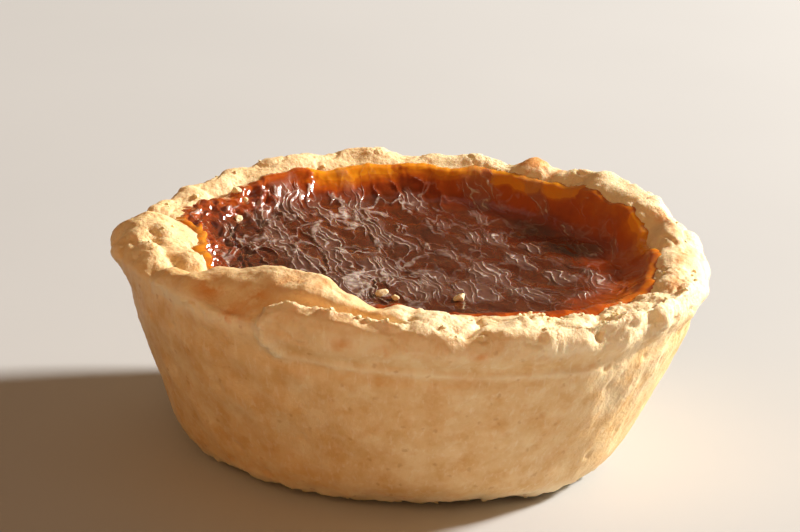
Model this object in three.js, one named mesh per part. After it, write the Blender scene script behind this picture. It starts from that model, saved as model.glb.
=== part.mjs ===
// A small hand-made treacle tart: a thick shortcrust case, baked in a deep round tin and turned out
// of it, with a sunken treacle filling that climbs the inside of the rim as a thin amber film.
//
// Millimetres, +Z up. The tart rests on its flat underside at z = 0, and its bounding box is centred
// on the Z axis. Azimuth 0 is +X (right), 90 is +Y (far side), 180 is -X (left), 270 is -Y (near).
//
// Each piece is a lathe whose outline changes with azimuth. The outline is a smooth curve through a
// few named stations, and every fold, lobe and dip of the dough is a feature that moves some of
// those stations over a span of azimuth.
import * as THREE from "three";

const AZIMUTH_STEPS = 150;
const GAP = 0.35; // between the filling and the case, all round

// ---------------------------------------------------------------- the pastry case

// Station name, radius, height, relief, and the steps of the curve from the station before it.
const CASE_STATIONS = [
  ["undersideCentre", 0, 0, 0, 0],
  ["undersideEdge", 23.4, 0, 0, 1],
  ["cornerLow", 27.7, 1.4, 0.1, 1],
  ["cornerHigh", 30.1, 4.0, 0.2, 2],
  ["wallLow", 32.5, 9.0, 0.25, 1],
  ["wallMiddle", 35.3, 15.0, 0.25, 2],
  ["wallHigh", 37.7, 21.0, 0.25, 2],
  ["seam", 38.5, 24.2, 0.15, 1],
  ["bandLip", 39.0, 25.1, 0.3, 1],
  ["bandBelly", 39.3, 26.8, 0.45, 2],
  ["shoulder", 38.9, 28.4, 0.6, 2],
  ["brow", 37.9, 29.6, 0.6, 2],
  ["ridge", 36.3, 30.1, 0.55, 2],
  ["innerSlope", 34.3, 29.6, 0.5, 2],
  ["innerBrink", 32.6, 28.5, 0.35, 1],
  ["innerEdge", 31.7, 27.0, 0.15, 1],
  ["shore", 31.6, 25.6, 0, 1],
  ["cavityHigh", 30.6, 19.0, 0, 1],
  ["cavityLow", 27.4, 8.6, 0, 1],
  ["cavityCorner", 23.4, 5.0, 0, 1],
  ["cavityCentre", 0, 4.8, 0, 1],
];

// A feature fades in over ramp[0] degrees from span[0], and out over ramp[1] degrees to span[1].
// Each station that it names moves by [outwards, upwards].
const CASE_FEATURES = [
  {
    name: "left wall, steeper than the right",
    span: [100, 262],
    ramp: [60, 60],
    moves: {
      cornerLow: [0.9, 0],
      cornerHigh: [1.7, 0],
      wallLow: [1.5, 0],
      wallMiddle: [1.1, 0],
      wallHigh: [0.7, 0],
      seam: [0.4, 0],
    },
  },
  {
    name: "underside, wider on the left of the near side",
    span: [186, 246],
    ramp: [28, 28],
    moves: { undersideEdge: [0.9, 0], cornerLow: [0.7, 0] },
  },
  {
    name: "underside, narrower on the near side",
    span: [246, 318],
    ramp: [30, 30],
    moves: { undersideEdge: [-1.6, 0], cornerLow: [-1.1, 0.1], cornerHigh: [-0.3, 0] },
  },
  {
    name: "lobe that hangs out on the left",
    span: [167, 208],
    ramp: [15, 22],
    moves: {
      seam: [0.3, -0.6],
      bandLip: [1.1, -0.6],
      bandBelly: [2.0, -0.5],
      shoulder: [2.0, -0.5],
      brow: [1.3, -0.2],
      ridge: [0.6, -0.1],
      innerSlope: [0, -0.3],
    },
  },
  {
    name: "dip beside the lobe, where the film runs over",
    span: [124, 178],
    ramp: [32, 12],
    moves: {
      shoulder: [-0.5, -0.9],
      brow: [-0.3, -1.7],
      ridge: [0.3, -2.3],
      innerSlope: [0.6, -2.3],
      innerBrink: [1.0, -1.6],
      innerEdge: [0.8, -0.6],
    },
  },
  {
    name: "broad inner slope on the left",
    span: [158, 224],
    ramp: [18, 16],
    moves: {
      innerSlope: [-1.4, -0.2],
      innerBrink: [-2.5, -0.5],
      innerEdge: [-2.5, -0.3],
      shore: [-1.8, 0],
    },
  },
  {
    name: "crease between the lobe and the fold",
    span: [197, 221],
    ramp: [10, 12],
    moves: {
      brow: [0, -0.7],
      ridge: [0, -1.3],
      innerSlope: [0, -1.4],
      innerBrink: [0.4, -1.0],
    },
  },
  {
    name: "fold of dough that curls inwards over the filling",
    span: [209, 264],
    ramp: [32, 18],
    moves: {
      bandBelly: [-0.3, 0],
      shoulder: [-0.7, -0.2],
      brow: [-1.5, 0.5],
      ridge: [-2.7, 2.2],
      innerSlope: [-3.5, 3.6],
      innerBrink: [-3.9, 3.2],
      innerEdge: [-3.1, 1.9],
      shore: [-0.9, 0],
    },
  },
  {
    name: "tail of the fold",
    span: [249, 284],
    ramp: [8, 24],
    moves: { ridge: [0, 0.3], innerSlope: [0, 0.8], innerBrink: [0.2, 0.9], innerEdge: [0.1, 0.6] },
  },
  {
    name: "band of dough that was folded out over the tin's edge",
    span: [240, 352],
    ramp: [2.5, 40],
    moves: {
      seam: [-0.1, 0.1],
      bandLip: [0.7, 0],
      bandBelly: [0.6, 0.1],
      shoulder: [0.5, 0.9],
      brow: [0.3, 0.3],
    },
  },
  {
    name: "torn upper edge of the band, in front of the fold",
    span: [241, 264],
    ramp: [4, 8],
    moves: { shoulder: [0.3, 1.0], brow: [-0.1, 0.3] },
  },
  {
    name: "broad, flat rim on the near side",
    span: [252, 330],
    ramp: [14, 26],
    moves: {
      ridge: [-0.5, 0.1],
      innerSlope: [-1.2, 0.4],
      innerBrink: [-1.8, 0.7],
      innerEdge: [-1.7, 0.8],
      shore: [-1.2, 0],
    },
  },
  {
    name: "low, crumbled rim at the right of the near side",
    span: [286, 358],
    ramp: [24, 22],
    moves: {
      brow: [0.5, -0.7],
      ridge: [0.5, -1.3],
      innerSlope: [0.5, -1.3],
      innerBrink: [0.8, -1.0],
      innerEdge: [0.5, -0.3],
    },
  },
  {
    name: "high rim on the right of the far side",
    span: [2, 66],
    ramp: [32, 28],
    moves: {
      bandLip: [-0.4, 0],
      bandBelly: [-0.7, 0.4],
      shoulder: [-0.9, 1.5],
      brow: [-0.1, 1.9],
      ridge: [0.9, 2.2],
      innerSlope: [0.4, 1.2],
      innerBrink: [0, 0.3],
    },
  },
  {
    name: "thick roll of dough that bulges over the film",
    span: [17, 56],
    ramp: [6, 18],
    moves: {
      ridge: [-0.5, 0.1],
      innerSlope: [-1.2, 0.9],
      innerBrink: [-1.2, 1.0],
      innerEdge: [-0.6, 0.5],
    },
  },
  {
    name: "right-hand edge, proud below and pulled in above",
    span: [338, 392],
    ramp: [16, 14],
    moves: {
      bandLip: [0.4, 0],
      bandBelly: [0.7, 0],
      shoulder: [0.1, -0.3],
      brow: [-1.0, -0.6],
      ridge: [-0.5, -0.5],
    },
  },
  {
    name: "knob on the far side",
    span: [56, 69],
    ramp: [5, 5],
    moves: { brow: [0.7, 0.9], ridge: [0.4, 1.2], innerSlope: [0, 0.5] },
  },
  {
    name: "small swelling beside the knob",
    span: [69, 88],
    ramp: [8, 9],
    moves: { brow: [0, 0.7], ridge: [0, 0.7] },
  },
  {
    name: "swelling on the far side",
    span: [90, 124],
    ramp: [14, 14],
    moves: { brow: [0, 0.4], ridge: [0, 0.6] },
  },
];

// The rim as a whole leans: it is highest here, by this much over its mean.
const RIM_LEAN = { azimuth: 60, rise: 0.8, from: "shoulder", to: "innerBrink" };

// Crumbled pastry, with much rougher relief than the rest of the rim.
const CRUMBLED = { span: [296, 350], ramp: [14, 20], relief: 0.4, from: "bandLip", to: "innerBrink" };

// Lumps of the dough: wavelength and height of each size of lump.
const DOUGH_LUMPS = [
  { wavelength: 11, height: 0.55, seed: 1.3 },
  { wavelength: 5.2, height: 0.5, seed: 4.1 },
];
const CRUMB_LUMPS = { wavelength: 4.6, seed: 2.2 };

// ---------------------------------------------------------------- the treacle filling

const POOL_LEVEL = 25.2; // height of the sunken surface at its middle
const POOL_DISH = 0.6; // how much it rises to its edge
const POOL_RADIUS = 30;
const POOL_RINGS = 8;
const POOL_WAVES = [
  { wavelength: 13, height: 0.16, seed: 0.7 },
  { wavelength: 6.2, height: 0.14, seed: 3.3 },
];
const FILM_THICKNESS = [0.35, 0.6, 1.1, 2.4]; // from its top edge down to the shore of the pool

// How far the film climbs, from 0 at the case's inner edge to 1 at its inner slope.
const FILM_CLIMB = 0.4;
const FILM_FEATURES = [
  { name: "high film on the far side", span: [4, 156], ramp: [24, 20], climb: 0.3 },
  { name: "film that runs over in the dip", span: [150, 176], ramp: [10, 10], climb: 0.6 },
  { name: "low film under the fold", span: [212, 264], ramp: [16, 14], climb: -0.4 },
];
const FILM_SCALLOPS = { wavelength: 9, seed: 5.2, climb: 0.14, radius: 34 };

// ---------------------------------------------------------------- helpers

const FULL_TURN = 360;
const WAVES = 9;
const GOLDEN_ANGLE = Math.PI * (3 - Math.sqrt(5));

const smooth = (t) => THREE.MathUtils.smoothstep(t, 0, 1);

// How strongly a feature acts at an azimuth in degrees, from 0 to 1.
function share(azimuth, { span, ramp }) {
  const turned = THREE.MathUtils.euclideanModulo(azimuth - span[0], FULL_TURN);
  const left = span[1] - span[0] - turned;
  return left <= 0 ? 0 : smooth(turned / ramp[0]) * smooth(left / ramp[1]);
}

// Rounded lumps all over space, about 1 high, as a sum of waves in directions spread over a sphere.
function lumps([x, y, z], { wavelength, seed }) {
  let sum = 0;
  for (let k = 0; k < WAVES; k++) {
    const up = 1 - (2 * k + 1) / WAVES;
    const flat = Math.sqrt(1 - up * up);
    const turn = GOLDEN_ANGLE * k + seed;
    const along = flat * (x * Math.cos(turn) + y * Math.sin(turn)) + up * z;
    const pitch = 0.8 + 0.4 * ((k * 0.618) % 1);
    sum += Math.sin((2 * Math.PI * pitch * along) / wavelength + seed * (k + 1) * 2.7);
  }
  return sum / Math.sqrt(WAVES);
}

const indexOfStation = (name) => CASE_STATIONS.findIndex(([station]) => station === name);

// The outline's point that lies on a station.
function pointOfStation(name) {
  const upTo = CASE_STATIONS.slice(1, indexOfStation(name) + 1);
  return upTo.reduce((sum, [, , , , steps]) => sum + steps, 0);
}

const INNER_POINTS = ["innerSlope", "innerBrink", "innerEdge", "shore"].map(pointOfStation);

function between(index, { from, to }) {
  return index >= indexOfStation(from) && index <= indexOfStation(to);
}

function inSpace(azimuth, [radius, height]) {
  const turn = THREE.MathUtils.degToRad(azimuth);
  return [radius * Math.cos(turn), radius * Math.sin(turn), height];
}

// The outline's stations at one azimuth: radius, height and how rough the dough is there.
function caseStations(azimuth) {
  const lean = RIM_LEAN.rise * Math.cos(THREE.MathUtils.degToRad(azimuth - RIM_LEAN.azimuth));
  return CASE_STATIONS.map(([name, radius, height, relief], index) => {
    const station = { radius, height, relief };
    for (const feature of CASE_FEATURES) {
      const [out, up] = feature.moves[name] ?? [0, 0];
      const strength = share(azimuth, feature);
      station.radius += out * strength;
      station.height += up * strength;
    }
    if (between(index, RIM_LEAN)) station.height += lean;
    station.crumbled = between(index, CRUMBLED) ? CRUMBLED.relief * share(azimuth, CRUMBLED) : 0;
    return station;
  });
}

// The case's outline at one azimuth, as [radius, height] points from the underside's centre, over
// the rim and down to the cavity's centre. Relief moves each point along the outline's normal.
function caseOutline(azimuth) {
  const stations = caseStations(azimuth);
  const curve = new THREE.SplineCurve(stations.map((s) => new THREE.Vector2(s.radius, s.height)));
  const last = stations.length - 1;
  const points = [];
  for (let index = 0; index <= last; index++) {
    const steps = Math.max(1, CASE_STATIONS[index][4]);
    const before = stations[Math.max(0, index - 1)];
    const here = stations[index];
    for (let step = 1; step <= steps; step++) {
      const mix = index === 0 ? 1 : step / steps;
      const t = Math.min(1, Math.max(0, (index - 1 + mix) / last));
      const point = curve.getPoint(t);
      const tangent = curve.getTangent(t);
      const place = inSpace(azimuth, [point.x, point.y]);
      const relief = THREE.MathUtils.lerp(before.relief, here.relief, mix);
      const crumbled = THREE.MathUtils.lerp(before.crumbled, here.crumbled, mix);
      const rough = DOUGH_LUMPS.reduce((sum, lump) => sum + lump.height * lumps(place, lump), 0);
      const raised = relief * rough + crumbled * lumps(place, CRUMB_LUMPS);
      points.push([
        Math.max(0, point.x + raised * tangent.y),
        Math.max(0, point.y - raised * tangent.x),
      ]);
    }
  }
  return points;
}

function poolHeight(azimuth, radius) {
  const place = inSpace(azimuth, [radius, 0]);
  const waves = POOL_WAVES.reduce((sum, wave) => sum + wave.height * lumps(place, wave), 0);
  return POOL_LEVEL + POOL_DISH * (radius / POOL_RADIUS) ** 2 + waves;
}

// A point moved off the case's inner face, into the cavity.
function offFace(points, index, distance) {
  const [r0, z0] = points[Math.max(0, index - 1)];
  const [r1, z1] = points[Math.min(points.length - 1, index + 1)];
  const length = Math.hypot(r1 - r0, z1 - z0);
  const [radius, height] = points[index];
  return [radius + (distance * (z1 - z0)) / length, height - (distance * (r1 - r0)) / length];
}

// A point of the outline, or a point between two of them.
function alongOutline(outline, place) {
  const index = Math.floor(place);
  const next = outline[Math.min(index + 1, outline.length - 1)];
  return outline[index].map((value, k) => THREE.MathUtils.lerp(value, next[k], place - index));
}

// The case's inner face at one azimuth: the film's top edge, the outline's own points down to the
// shore of the pool, and those from there to the cavity's centre.
function innerFace(azimuth) {
  const outline = caseOutline(azimuth);
  const [slope, brink, edge, shore] = INNER_POINTS;
  const raised = FILM_FEATURES.reduce((sum, f) => sum + f.climb * share(azimuth, f), FILM_CLIMB);
  const scallop = lumps(inSpace(azimuth, [FILM_SCALLOPS.radius, 0]), FILM_SCALLOPS);
  const climb = THREE.MathUtils.clamp(raised + FILM_SCALLOPS.climb * scallop, 0.1, 0.95);
  const top = THREE.MathUtils.lerp(edge, slope, climb);
  const below = top < brink ? brink : (top + edge) / 2;
  const film = [top, below, edge, shore].map((place) => alongOutline(outline, place));
  return [...film, ...outline.slice(shore + 1)];
}

// The filling's outline at one azimuth: out along the cavity's floor and up its wall to the film's
// top edge, then down the film's own surface and in along the pool to the centre.
function fillingOutline(azimuth) {
  const face = innerFace(azimuth);
  const inner = face.map((_, index) => offFace(face, index, GAP)).reverse();
  const floorHeight = inner[0][1];
  inner[0] = [0, floorHeight];

  const film = FILM_THICKNESS.map((thickness, index) => {
    const [radius, height] = offFace(face, index, GAP + thickness);
    return [radius, Math.max(height, poolHeight(azimuth, radius))];
  });
  const shoreRadius = film[film.length - 1][0];
  const pool = Array.from({ length: POOL_RINGS }, (_, ring) => {
    const radius = shoreRadius * (1 - (ring + 1) / POOL_RINGS);
    return [radius, poolHeight(azimuth, radius)];
  });
  return [...inner, ...film, ...pool];
}

// A lathe whose outline is worked out again at each azimuth, turned so that its axis is Z.
function lathe(outlineAt) {
  const outlines = Array.from({ length: AZIMUTH_STEPS }, (_, i) => outlineAt((i * FULL_TURN) / AZIMUTH_STEPS));
  const geometry = new THREE.LatheGeometry(
    outlines[0].map(([radius, height]) => new THREE.Vector2(radius, height)),
    AZIMUTH_STEPS,
  );
  const position = geometry.getAttribute("position");
  const count = outlines[0].length;
  const centreOf = [0, count - 1].map((end) => outlines[0][end][1]);
  for (let i = 0; i <= AZIMUTH_STEPS; i++) {
    for (let j = 0; j < count; j++) {
      const outline = outlines[i % AZIMUTH_STEPS];
      const onAxis = j === 0 || j === count - 1;
      const point = onAxis ? [0, centreOf[j === 0 ? 0 : 1]] : outline[j];
      const turn = (i % AZIMUTH_STEPS) * (FULL_TURN / AZIMUTH_STEPS);
      position.setXYZ(i * count + j, ...inSpace(turn, point));
    }
  }
  geometry.deleteAttribute("normal");
  geometry.deleteAttribute("uv");
  return geometry;
}

// ---------------------------------------------------------------- the tart

function piece(name, geometry, material) {
  const mesh = new THREE.Mesh(geometry, material);
  mesh.name = name;
  return mesh;
}

const pastry = new THREE.MeshStandardMaterial({ color: 0xd9ae74, roughness: 0.85, metalness: 0 });
const treacle = new THREE.MeshStandardMaterial({ color: 0x5a2411, roughness: 0.2, metalness: 0 });

const tart = new THREE.Group();
const pastryCase = piece("pastry_case", lathe(caseOutline), pastry);
const filling = piece("treacle_filling", lathe(fillingOutline), treacle);
tart.add(pastryCase, filling);

// The outline isn't round, so the pieces move to bring the middle of the tart's box over the origin.
const box = new THREE.Box3().setFromObject(pastryCase);
const middle = box.getCenter(new THREE.Vector3());
tart.position.set(-middle.x, -middle.y, -box.min.z);

export default tart;
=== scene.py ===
# %% [markdown]
# # A small treacle tart
#
# A deep little tart: a thick case of shortcrust pastry, baked in a round tin and turned out of it, with
# a sunken filling of treacle and breadcrumbs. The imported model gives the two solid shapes. This lesson
# turns them into food: it rounds the dough and roughens it, wrinkles the skin of the treacle, scatters
# the crumbs that break off, and gives each of them the surface that it has on a real tart.
#
# The frame comes first, because every piece takes its place from it. Sizes are in millimetres in this
# script, and MM turns them into Blender's metres.

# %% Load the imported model
import math

import bmesh
import bpy
import numpy as np
from mathutils import Matrix, Quaternion, Vector, noise
from mathutils.bvhtree import BVHTree


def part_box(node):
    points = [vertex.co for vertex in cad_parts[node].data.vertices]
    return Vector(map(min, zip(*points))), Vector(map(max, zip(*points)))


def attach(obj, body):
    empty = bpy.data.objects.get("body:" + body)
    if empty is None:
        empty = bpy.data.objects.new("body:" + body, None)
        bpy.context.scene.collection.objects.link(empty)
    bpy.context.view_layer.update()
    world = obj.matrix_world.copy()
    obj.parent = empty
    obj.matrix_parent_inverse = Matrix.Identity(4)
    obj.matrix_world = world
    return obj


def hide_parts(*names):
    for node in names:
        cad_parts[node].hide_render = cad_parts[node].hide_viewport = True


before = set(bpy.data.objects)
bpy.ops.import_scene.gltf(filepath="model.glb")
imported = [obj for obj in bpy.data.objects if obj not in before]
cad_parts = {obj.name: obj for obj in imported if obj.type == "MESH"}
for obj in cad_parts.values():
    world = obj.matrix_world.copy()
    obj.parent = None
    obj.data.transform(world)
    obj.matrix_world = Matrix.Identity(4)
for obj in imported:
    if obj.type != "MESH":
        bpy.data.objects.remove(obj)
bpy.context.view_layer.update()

MM = 0.001
case_low, case_high = (np.array(corner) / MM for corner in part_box("pastry_case"))
print("case, mm:", (case_high - case_low).round(1))

# %% [markdown]
# ## The camera
#
# The tart is seen from a little above, from about 45 cm away with a long lens, so its near and far
# rims look nearly alike. A low camera shows the wall, the rim and the pool together. The camera is
# turned about its own axis by a few degrees, as a camera held by hand is.

# %% Camera
CAMERA_AT = Vector((0.7, -425.4, 161.5))
CAMERA_LOOKS_AT = Vector((-1.4, 3.2, 24.0))
LENS_MM = 147.8
SENSOR_MM = 36.0
CAMERA_ROLL = math.radians(3.5)

camera_data = bpy.data.cameras.new("camera")
camera_data.lens = LENS_MM
camera_data.sensor_width = SENSOR_MM
camera = bpy.data.objects.new("camera", camera_data)
bpy.context.scene.collection.objects.link(camera)
camera.location = CAMERA_AT * MM
camera.rotation_mode = "QUATERNION"
aim = (CAMERA_LOOKS_AT - CAMERA_AT).to_track_quat("-Z", "Y")
camera.rotation_quaternion = aim @ Quaternion((0, 0, 1), CAMERA_ROLL)
bpy.context.scene.camera = camera
print("camera elevation, degrees:", round(math.degrees(math.asin(
    (CAMERA_AT - CAMERA_LOOKS_AT).normalized().z)), 1))

# %% [markdown]
# ## Materials are graphs of nodes
#
# One small helper adds a node, with its settings and with links into its sockets. Colours are written
# as they would be picked from a screen, in sRGB hex, and one function turns them into the linear
# values that light is worked out with.

# %% Helpers for materials
def linear(hex_colour):
    """An sRGB hex colour as linear red, green, blue and alpha."""
    channels = [int(hex_colour[i:i + 2], 16) / 255 for i in (1, 3, 5)]
    return [c / 12.92 if c <= 0.04045 else ((c + 0.055) / 1.055) ** 2.4 for c in channels] + [1.0]


def node(tree, kind, inputs=None, **settings):
    """Adds a node. Links an input to a socket or to a node's first output, and sets any other value."""
    made = tree.nodes.new("ShaderNode" + kind)
    for name, value in settings.items():
        setattr(made, name, value)
    for name, value in (inputs or {}).items():
        if isinstance(value, bpy.types.Node):
            value = value.outputs[0]
        if isinstance(value, bpy.types.NodeSocket):
            tree.links.new(value, made.inputs[name])
        else:
            made.inputs[name].default_value = value
    return made


def new_material(name):
    """An empty material: its tree and its surface output."""
    material = bpy.data.materials.new(name)
    material.use_nodes = True
    material.node_tree.nodes.clear()
    return material, material.node_tree, node(material.node_tree, "OutputMaterial")


# %% [markdown]
# ## Floor and light
#
# The tart stands on a plain pale tabletop with matt paint on it, rolled on, so it has faint soft clouds
# and no gloss. A small lamp stands low on the right and behind. It makes the right wall glow, leaves
# the left wall in shade and sends glints from the wet skin at the left of the pool to the camera. A
# faint broad window, high behind, lays a sheen on the wrinkles. A wide faint lamp in front, warm like
# light that comes back from the walls of a room, keeps the near wall readable.

# %% Floor
FLOOR_SIZE_MM = 3000
CLOUDS_PER_METRE = 14.0  # soft clouds in the paint, about 70 mm wide

floor_paint, tree, output = new_material("matt_painted_tabletop")
place = node(tree, "TexCoord").outputs["Object"]
faint_clouds = node(tree, "TexNoise", {"Vector": place, "Scale": CLOUDS_PER_METRE})
paint_colour = node(tree, "MixRGB", {
    "Fac": faint_clouds, "Color1": linear("#b6b8bb"), "Color2": linear("#bcbec1")})
paint = node(tree, "BsdfPrincipled", {"Base Color": paint_colour, "Roughness": 0.6})
tree.links.new(paint.outputs["BSDF"], output.inputs["Surface"])

bpy.ops.mesh.primitive_grid_add(x_subdivisions=8, y_subdivisions=8, size=FLOOR_SIZE_MM * MM)
floor = bpy.context.object
floor.name = "floor"
floor.data.materials.append(floor_paint)
print("floor, mm:", FLOOR_SIZE_MM)


# %% Lamps
LAMPS_FACE_MM = 20  # the lamps face a point at this height in the tart


def lamp(name, azimuth, elevation, distance_mm, size_mm, watts, colour):
    """An area lamp that faces the tart. Azimuth 0 is the tart's right, and 90 is behind it."""
    data = bpy.data.lights.new(name, "AREA")
    data.shape = "RECTANGLE"
    data.size, data.size_y = (length * MM for length in size_mm)
    data.energy = watts
    data.color = linear(colour)[:3]
    turn, lift = math.radians(azimuth), math.radians(elevation)
    away = Vector((math.cos(turn) * math.cos(lift), math.sin(turn) * math.cos(lift), math.sin(lift)))
    placed = bpy.data.objects.new(name, data)
    placed.location = away * distance_mm * MM + Vector((0, 0, LAMPS_FACE_MM * MM))
    placed.rotation_euler = away.to_track_quat("Z", "Y").to_euler()
    bpy.context.scene.collection.objects.link(placed)
    print(name, "watts:", watts)


lamp("low_warm_lamp", 27, 28, 1400, (190, 190), 51.0, "#fffaf0")
lamp("window_behind", 97, 66, 1100, (900, 480), 0.3, "#fff3ea")
lamp("faint_front_lamp", 250, 30, 1300, (900, 700), 4.8, "#ffc083")

# %% The room's own light
world = bpy.data.worlds.new("dim_room")
world.use_nodes = True
world.node_tree.nodes["Background"].inputs["Color"].default_value = linear("#c09c78")
world.node_tree.nodes["Background"].inputs["Strength"].default_value = 0.3
bpy.context.scene.world = world
bpy.context.scene.view_settings.view_transform = "Standard"

# %% [markdown]
# ## Patterns at their real sizes
#
# The colour of food drifts in soft spots, and each kind of spot has a size that can be measured on the
# real thing. Noise gives spots of a size in millimetres. Mapped to a new range, it is a share: how much
# of another colour lies over the first one. What a place on the mesh is, such as toasted or wet, is a
# number kept for each point, a named attribute, which the material reads.

# %% Helpers for patterns
PER_MM = 1 / MM  # noise scales are given as features per metre
SPOT_ROUGHNESS = 0.55  # how much of the finer detail shows in soft spots


def graded(ramp, *stops):
    """Gives a colour ramp its stops, as pairs of a value and a hex colour, with soft steps between."""
    ramp.color_ramp.interpolation = "EASE"
    while len(ramp.color_ramp.elements) < len(stops):
        ramp.color_ramp.elements.new(0.5)
    for element, (position, colour) in zip(ramp.color_ramp.elements, stops):
        element.position = position
        element.color = linear(colour)
    return ramp


# %% [markdown]
# ## Baked shortcrust
#
# Shortcrust is flour, fat and a little sugar, pressed into a tin by hand and baked pale gold. Its gold
# drifts over a few millimetres and is paler where flour stayed. Streaks run up the wall where it slid
# out of the tin, and small brown specks are sugar that caught. The rim is paler than the wall, apart
# from what stood nearest the heat. Part of that paleness is its own colour and part is painted light:
# painted highlights on torn edges and along the seam under the band, and painted shade where the fold
# and the far rim face away from the lamp, with orange-brown on the fold's lower face. Dough beside the
# film is soaked with syrup and orange.
#
# So the material starts from a ramp of three golds, and layers are laid over it one by one.

# %% Colours of baked shortcrust
SPOTS = {  # size in mm, and how many finer sizes lie in each
    "gold": (3.4, 5.0), "floury": (1.3, 3.0), "warm": (2.4, 4.0), "toast": (2.6, 4.0), "soak": (1.5, 3.0)}
RUBBED_MM, RUBBED_LENGTHWAYS = 0.7, 0.22  # streaks this wide, and stretched along the tart's height
SPECK_APART_MM, SPECK_SHAKE_MM, SHAKE_SIZE_MM = 1.5, 0.9, 0.8  # noise shakes the specks out of round

shortcrust, tree, output = new_material("baked_shortcrust")
place = node(tree, "TexCoord").outputs["Object"]
kept = {name: node(tree, "Attribute", attribute_name=name).outputs["Fac"]
        for name in ("pale_and_painted_light", "toasted_and_painted_shade", "granular", "soaked")}
spots = {name: node(tree, "TexNoise", {
    "Vector": place, "Scale": PER_MM / size_mm, "Detail": detail, "Roughness": SPOT_ROUGHNESS})
    for name, (size_mm, detail) in SPOTS.items()}
gold = graded(node(tree, "ValToRGB", {"Fac": spots["gold"]}),
              (0.34, "#e0b272"), (0.5, "#e8c187"), (0.66, "#efce99"))
stretched = node(tree, "Mapping", {"Vector": place, "Scale": (1, 1, RUBBED_LENGTHWAYS)})
streaks = node(tree, "TexNoise", {
    "Vector": stretched, "Scale": PER_MM / RUBBED_MM, "Detail": 3.0, "Roughness": SPOT_ROUGHNESS})
shake = (SPECK_SHAKE_MM * MM,) * 3
ways = node(tree, "TexNoise", {"Vector": place, "Scale": PER_MM / SHAKE_SIZE_MM}).outputs["Color"]
shaken = node(tree, "VectorMath", {0: ways, 1: shake, 2: place}, operation="MULTIPLY_ADD")
speck_cells = node(tree, "TexVoronoi", {"Vector": shaken, "Scale": PER_MM / SPECK_APART_MM})
chosen_cells = node(tree, "MapRange", {
    "Value": speck_cells.outputs["Color"], "From Min": 0.6, "From Max": 0.75},
    interpolation_type="SMOOTHSTEP")

# %% Layers of colour on the shortcrust
everywhere = 1.0
layers = (  # the value each follows, from where to where, its share there, where it lies, its colour
    (spots["floury"], 0.5, 0.66, 0.0, 0.25, everywhere, "#f6dcae"),
    (streaks, 0.56, 0.7, 0.0, 0.3, everywhere, "#f9e5c0"),
    (spots["warm"], 0.54, 0.7, 0.0, 0.26, everywhere, "#d8974c"),
    # paler rim: partly the dough's own colour, partly painted light and painted shade
    (everywhere, 0.0, 1.0, 0.0, 0.65, kept["pale_and_painted_light"], "#fdebc4"),
    # toasted spots; on the fold's lower face this colour is painted shade
    (spots["toast"], 0.4, 0.58, 0.1, 0.9, kept["toasted_and_painted_shade"], "#dc8f3c"),
    (speck_cells.outputs["Distance"], 0.1, 0.3, 0.38, 0.0, chosen_cells, "#b9772f"),
    (spots["soak"], 0.38, 0.6, 0.15, 0.95, kept["soaked"], "#cf7f2a"))
dough = gold
for value, start, end, share_at_start, share_at_end, where, colour in layers:
    mapped = node(tree, "MapRange", {
        "Value": value, "From Min": start, "From Max": end,
        "To Min": share_at_start, "To Max": share_at_end}, interpolation_type="SMOOTHSTEP")
    share = node(tree, "Math", {0: mapped, 1: where}, operation="MULTIPLY")
    dough = node(tree, "MixRGB", {"Fac": share, "Color1": dough, "Color2": linear(colour)})
print("layers of colour on the shortcrust:", len(layers))

# %% [markdown]
# ### The crumb
#
# The crumb is finer than the mesh, so it is a bump, with soft grains of 0.5 mm and round ones of 0.6 mm
# that are deeper where the dough is granular or torn. Light goes about a millimetre into baked dough
# and comes out warmer, which softens every edge: that is subsurface scattering. Fat and flour leave it
# dull, and only the syrup that soaked in beside the film shines, as a clear coat.

# %% Surface of baked shortcrust
CRUMB_MM, CRUMB_HEIGHT_MM = 0.5, 0.35
GRAIN_MM, GRAIN_HEIGHT_MM = 0.6, 0.22
SCATTER_MM = 1.0

soft_grains = node(tree, "TexNoise", {
    "Vector": place, "Scale": PER_MM / CRUMB_MM, "Detail": 4.0, "Roughness": 0.7})
round_grains = node(tree, "TexVoronoi", {"Vector": place, "Scale": PER_MM / GRAIN_MM})
soft_depth, round_depth = (
    node(tree, "MapRange", {"Value": kept["granular"], "To Min": least, "To Max": most},
         interpolation_type="SMOOTHSTEP") for least, most in ((0.5, 0.8), (0.12, 0.5)))
crumb = node(tree, "Bump", {
    "Height": soft_grains, "Strength": soft_depth, "Distance": CRUMB_HEIGHT_MM * MM})
grain = node(tree, "Bump", {
    "Height": round_grains, "Strength": round_depth, "Distance": GRAIN_HEIGHT_MM * MM, "Normal": crumb})
syrup_coat = node(tree, "Math", {0: kept["soaked"], 1: 0.7}, operation="MULTIPLY")
baked = node(tree, "BsdfPrincipled", {
    "Base Color": dough, "Roughness": 0.55, "IOR": 1.45, "Specular IOR Level": 0.4,
    "Subsurface Weight": 0.3, "Subsurface Radius": (1.0, 0.6, 0.32), "Subsurface Scale": SCATTER_MM * MM,
    "Coat Weight": syrup_coat, "Coat Roughness": 0.12, "Coat IOR": 1.49, "Normal": grain})
tree.links.new(baked.outputs["BSDF"], output.inputs["Surface"])
print("nodes of baked shortcrust:", len(tree.nodes))

# %% [markdown]
# ## Set treacle
#
# The filling is sugar syrup boiled with breadcrumbs, poured hot and left to set: nearly black-brown
# where it is deep, amber where it is a thin film with pale dough behind it, and glossy all over.
# Attribute "film" says how thin it is, with a painted glow added on the right for light that comes
# through the film from the right, and soft spots shift that, because the crumbs in it are uneven.
#
# Its skin has wrinkles finer than the mesh, so they are drawn here. Smooth numbers kept on the points
# say how far a place is from a line, and the material turns them into sharp lines. They are a little
# raised, and painted paler than the syrup in broken pieces: a painted highlight for the light that each
# crest catches. Where small wrinkles crowd, the whole skin is duller, and its colour is greyed as a
# painted sheen.

# %% Colours of set treacle
UNEVEN_CRUMBS_MM = 3.0

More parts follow.
